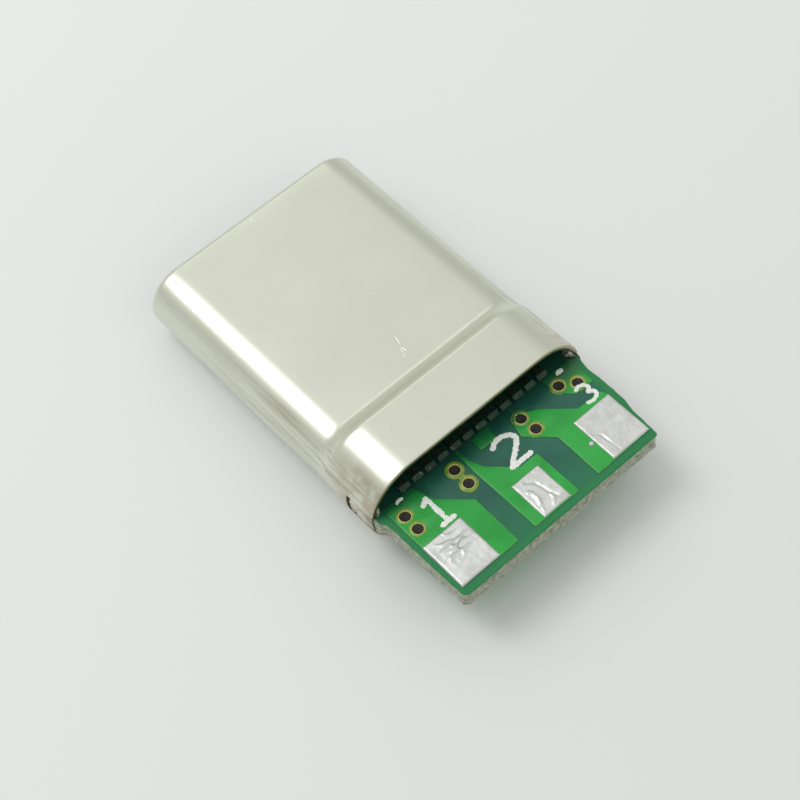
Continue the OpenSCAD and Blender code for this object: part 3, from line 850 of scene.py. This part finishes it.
def make_land(name, x0, x1, d0, d1):
    n = 90
    top = COPPER_TOP + LAND_T - 0.012
    verts, faces = [], []
    for j in range(n + 1):
        for i in range(n + 1):
            u, v = i / n, j / n
            x, d = x0 + (x1 - x0) * u, d0 + (d1 - d0) * v
            edge = min(u, 1 - u) * (x1 - x0), min(v, 1 - v) * (d1 - d0)
            near = min(edge)
            crown = min(1.0, near / 0.06)
            fade = min(1.0, near / 0.12)
            z = COPPER_TOP + (top - COPPER_TOP) * (1 - (1 - crown) ** 2) + wrinkles(name, x, d) * fade
            wob = 0.012 * rough(x, d, 0, 0.22, 7.0)
            x += wob * (1 - fade)
            d += wob * (1 - fade)
            x = min(max(x, x0), x1)
            d = min(max(d, d0), d1)
            verts.append(at(x, d, min(z, COPPER_TOP + LAND_T + 0.02)))
    for j in range(n):
        for i in range(n):
            a = j * (n + 1) + i
            faces.append((a, a + 1, a + n + 2, a + n + 1))
    rim = [i for i in range(n + 1)]
    rim += [j * (n + 1) + n for j in range(1, n + 1)]
    rim += [n * (n + 1) + i for i in range(n - 1, -1, -1)]
    rim += [j * (n + 1) for j in range(n - 1, 0, -1)]
    base = len(verts)
    for k in rim:
        p = verts[k].copy()
        p.z = (BOARD_TOP + REAR_H / 2) * MM
        verts.append(p)
    for k in range(len(rim)):
        m = (k + 1) % len(rim)
        faces.append((rim[k], base + k, base + m, rim[m]))
    me = mesh_of(name + "_solder", verts, faces)
    return keep(new_object(name + "_solder", me, solder, smooth=50), [name])


for name, (x0, x1, d0, d1) in LANDS.items():
    make_land(name, x0, x1, d0, d1)


# Solder in the side notches, slumped and uneven


def make_joint(name):
    source = frame["nodes"][name].data.copy()
    o = new_object(name + "_solder", source, None, smooth=0)
    m = o.modifiers.new("even", "REMESH")
    m.mode = "VOXEL"
    m.voxel_size = 0.022 * MM
    apply_modifiers(o)
    me = o.data
    for v, normal in zip(me.vertices, [v.normal.copy() for v in me.vertices]):
        x, y, z = (c / MM for c in v.co)
        sunk = 0.026 + 0.07 * max(0.0, rough(x, y, z, 0.28, 3.0)) + 0.03 * rough(x, y, z, 0.09, 6.0)
        v.co -= normal * max(0.0, sunk) * MM
    me.materials.clear()
    me.materials.append(joint_solder)
    me.shade_smooth()
    keep(o, [name])


for name in ("shell_joint_left", "shell_joint_right"):
    make_joint(name)


# CAD nodes that keep their shape get the same materials

for name, o in frame["nodes"].items():
    slot = {s["node"]: s["material_slot"] for s in frame["record"]["subparts"]}.get(name)
    chosen = {
        "nickel_sheet": nickel, "spring_steel": steel, "contact_gold": gold, "solder": solder, "black_plastic": plastic,
        "board_mask": board_green, "masked_copper": pour_green, "gold_plating": ring_metal,
    }.get(slot)
    # The contact tails and their joints take the solder painted with shade and glints.
    if name in ("tail_joints_top", "tail_pads_top", "tail_joints_bottom", "tail_pads_bottom"):
        chosen = shaded_tail_solder
    if chosen is not None and o.type == "MESH":
        for s in o.material_slots:
            s.material = chosen


# White marks: numbers drawn with a ragged stroke, and stray dabs of ink


def arc(cx, cd, rx, rd, start, end, steps=14):
    """Points across and depth round an ellipse, with angles turning from across towards the shell."""
    return [
        (cx + rx * math.cos(math.radians(a)), cd - rd * math.sin(math.radians(a)))
        for a in (start + (end - start) * k / steps for k in range(steps + 1))
    ]


def smooth_line(points, step=0.02):
    out = []
    for a, b in zip(points, points[1:]):
        a, b = Vector(a), Vector(b)
        n = max(1, round((b - a).length / step))
        out += [a.lerp(b, k / n) for k in range(n)]
    return out + [Vector(points[-1])]


def stroke(points, width, low, height, seed):
    """Ribbon with ragged sides that stands on the board along a line."""
    line = smooth_line(points)
    rings = []
    for i, p in enumerate(line):
        along_line = (line[min(i + 1, len(line) - 1)] - line[max(i - 1, 0)]).normalized()
        across = Vector((along_line.y, -along_line.x))
        ends = min(i, len(line) - 1 - i) * 0.02 / (width / 2)
        half = width / 2 * math.sqrt(max(0.15, 1 - (1 - min(1.0, ends)) ** 2))
        a = half * (1 + 0.45 * rough(p.x, p.y, 0, 0.07, seed))
        b = half * (1 + 0.45 * rough(p.x, p.y, 1, 0.07, seed + 3))
        top = height * (1 + 0.3 * rough(p.x, p.y, 2, 0.1, seed))
        profile = [(-a, 0.0), (-a * 0.9, top * 0.8), (-a * 0.5, top), (b * 0.5, top), (b * 0.9, top * 0.8), (b, 0.0)]
        rings.append([at(p.x + across.x * o, p.y + across.y * o, low + z) for o, z in profile])
    return rings


def mark(name, lines, width=0.125, seed=1.0):
    """Ink that follows lines; it lies partly on copper, so its foot is at the mask over the laminate."""
    verts, faces = [], []
    for k, points in enumerate(lines):
        rings = stroke(points, width, BOARD_TOP - 0.002, COPPER_T + 0.012, seed + k)
        base, n = len(verts), len(rings[0])
        verts += [p for ring in rings for p in ring]
        for i in range(len(rings) - 1):
            for m in range(n):
                q = (m + 1) % n
                a, b = base + i * n, base + (i + 1) * n
                faces.append((a + m, a + q, b + q, b + m))
        faces.append(tuple(base + m for m in range(n)))
        faces.append(tuple(base + (len(rings) - 1) * n + m for m in range(n))[::-1])
    me = mesh_of(name, verts, faces)
    fix_normals(me)
    return keep(new_object(name, me, white_ink, smooth=50), [])


def one(x, d, w, h):
    return [[(x - w * 0.35, d - h * 0.3), (x + w * 0.06, d - h / 2), (x + w * 0.06, d + h / 2)],
            [(x - w * 0.4, d + h / 2), (x + w * 0.5, d + h / 2)]]


def two(x, d, w, h):
    bow = arc(x, d - h * 0.22, w * 0.46, h * 0.28, 165, -35)
    return [bow + [(x - w * 0.45, d + h * 0.5), (x + w * 0.5, d + h * 0.5)]]


def three(x, d, w, h):
    upper = arc(x - w * 0.05, d - h * 0.24, w * 0.42, h * 0.26, 150, -80)
    lower = arc(x - w * 0.05, d + h * 0.24, w * 0.5, h * 0.26, 80, -150)
    return [upper, lower]


mark("mark_1", one(-2.60, 11.76, 0.66, 1.0), 0.175, 1.0)
mark("mark_2", two(0.32, 11.76, 0.86, 1.0), 0.175, 5.0)
mark("mark_3", three(3.28, 11.93, 0.50, 0.64), 0.135, 9.0)
mark("dab_left", [arc(-3.14, 10.84, 0.13, 0.06, 200, 20, 6)], 0.11, 13.0)
mark("dab_right", [arc(3.24, 10.88, 0.12, 0.05, 200, 20, 6)], 0.18, 15.0)


# A branched scratch and a nick on top of the nose


def make_scratch():
    """Thin raised burrs along the scratch and one at the lip, in the shell's own plate."""
    lines = [
        [(0.25, 6.86), (0.19, 7.15), (0.07, 7.34), (-0.01, 7.60), (0.12, 7.56)],
        [(0.39, 7.10), (0.24, 7.16)],
        [(0.17, 7.49), (0.12, 7.30)],
        [(-0.06, 0.31), (-0.02, 0.40)],
    ]
    verts, faces = [], []
    for k, points in enumerate(lines):
        rings = stroke(points, 0.035, NOSE_H / 2 - 0.004, 0.011, 20.0 + k)
        base, n = len(verts), len(rings[0])
        verts += [p for ring in rings for p in ring]
        for i in range(len(rings) - 1):
            for m in range(n):
                q = (m + 1) % n
                a, b = base + i * n, base + (i + 1) * n
                faces.append((a + m, a + q, b + q, b + m))
        faces.append(tuple(base + m for m in range(n)))
        faces.append(tuple(base + (len(rings) - 1) * n + m for m in range(n))[::-1])
    me = mesh_of("shell_scratch", verts, faces)
    fix_normals(me)
    keep(new_object("shell_scratch", me, nickel, smooth=50), [])


make_scratch()

# Floor, light and camera

TILT = math.atan2((REAR_H - NOSE_H) / 2, CREST - 0.25)


def make_floor():
    n = Nodes("floor")
    _, depth, _ = n.place()
    cloud = n.noise(0.02, 3, 0.5)
    # Painted light falloff: the floor is painted darker towards the camera and lighter towards the far side, under the
    # key lamp.
    near, far = srgb(226, 228, 229), srgb(237, 239, 240)
    color = n.mix(n.span(n.math("ADD", depth, n.math("MULTIPLY", cloud, 4)), 34, -18), near, far)
    mat = n.done(color, 0.5, None, Specular_IOR_Level=0.25)
    s = 1.2
    me = mesh_of("floor", [(-s, -s, 0), (s, -s, 0), (s, s, 0), (-s, s, 0)], [(0, 1, 2, 3)])
    o = new_object("floor", me, mat, smooth=0)
    o.rotation_euler = (TILT, 0, 0)
    contact = at(0, CREST, -REAR_H / 2)
    o.location = contact


make_floor()


def area_light(name, direction, distance, w, h, power, color=(1, 1, 1)):
    data = bpy.data.lights.new(name, "AREA")
    data.shape = "RECTANGLE"
    data.size, data.size_y = w, h
    data.energy = power
    data.color = color
    o = bpy.data.objects.new(name, data)
    bpy.context.scene.collection.objects.link(o)
    d = Vector(direction).normalized()
    o.location = d * distance
    o.rotation_mode = "QUATERNION"
    o.rotation_quaternion = d.to_track_quat("Z", "Y")
    return o


KEY = (-0.28, 0.42, 0.85)
area_light("key", KEY, 0.25, 0.10, 0.13, 0.182, (1.0, 0.99, 0.965))
area_light("rim", (0.30, 0.74, 0.60), 0.30, 0.14, 0.05, 0.018, (1.0, 0.995, 0.97))


def make_world():
    """Pale studio room, dimmer in a band above the floor, that every ray sees alike."""
    world = bpy.data.worlds.new("studio")
    bpy.context.scene.world = world
    world.use_nodes = True
    tree = world.node_tree
    tree.nodes.clear()

    def add(kind):
        return tree.nodes.new(kind)

    coord = add("ShaderNodeTexCoord")
    split = add("ShaderNodeSeparateXYZ")
    tree.links.new(coord.outputs["Generated"], split.inputs[0])
    ramp = add("ShaderNodeValToRGB")
    stops = [
        (0.0, (0.62, 0.62, 0.59)), (0.50, (0.64, 0.645, 0.61)), (0.62, (0.60, 0.605, 0.565)),
        (0.71, (0.56, 0.565, 0.52)), (0.80, (0.68, 0.685, 0.65)), (0.92, (0.76, 0.765, 0.74)), (1.0, (0.76, 0.765, 0.745)),
    ]
    e = ramp.color_ramp.elements
    while len(e) < len(stops):
        e.new(0.5)
    for el, (pos, col) in zip(e, stops):
        el.position = pos
        el.color = (*col, 1)
    half = add("ShaderNodeMapRange")
    half.inputs["From Min"].default_value = -1
    half.inputs["From Max"].default_value = 1
    tree.links.new(split.outputs[2], half.inputs["Value"])
    tree.links.new(half.outputs["Result"], ramp.inputs["Fac"])
    room = add("ShaderNodeBackground")
    tree.links.new(ramp.outputs["Color"], room.inputs["Color"])
    out = add("ShaderNodeOutputWorld")
    tree.links.new(room.outputs[0], out.inputs[0])


make_world()


def make_camera():
    data = bpy.data.cameras.new("camera")
    data.sensor_width = 36
    data.lens = 82.45
    data.clip_start, data.clip_end = 0.002, 10
    o = bpy.data.objects.new("camera", data)
    bpy.context.scene.collection.objects.link(o)
    az, el, roll = (math.radians(a) for a in (-34.62, 57.295, -8.239))
    back = Vector((math.sin(az) * math.cos(el), -math.cos(az) * math.cos(el), math.sin(el)))
    side = Vector((math.cos(az), math.sin(az), 0))
    up = back.cross(side)
    right = side * math.cos(roll) + up * math.sin(roll)
    top = up * math.cos(roll) - side * math.sin(roll)
    turn = Matrix((right, top, back)).transposed()
    o.rotation_mode = "QUATERNION"
    o.rotation_quaternion = turn.to_quaternion()
    o.location = Vector((-17.643, -25.352, 48.029)) * MM
    bpy.context.scene.camera = o


make_camera()

bpy.context.scene.view_settings.view_transform = "Standard"
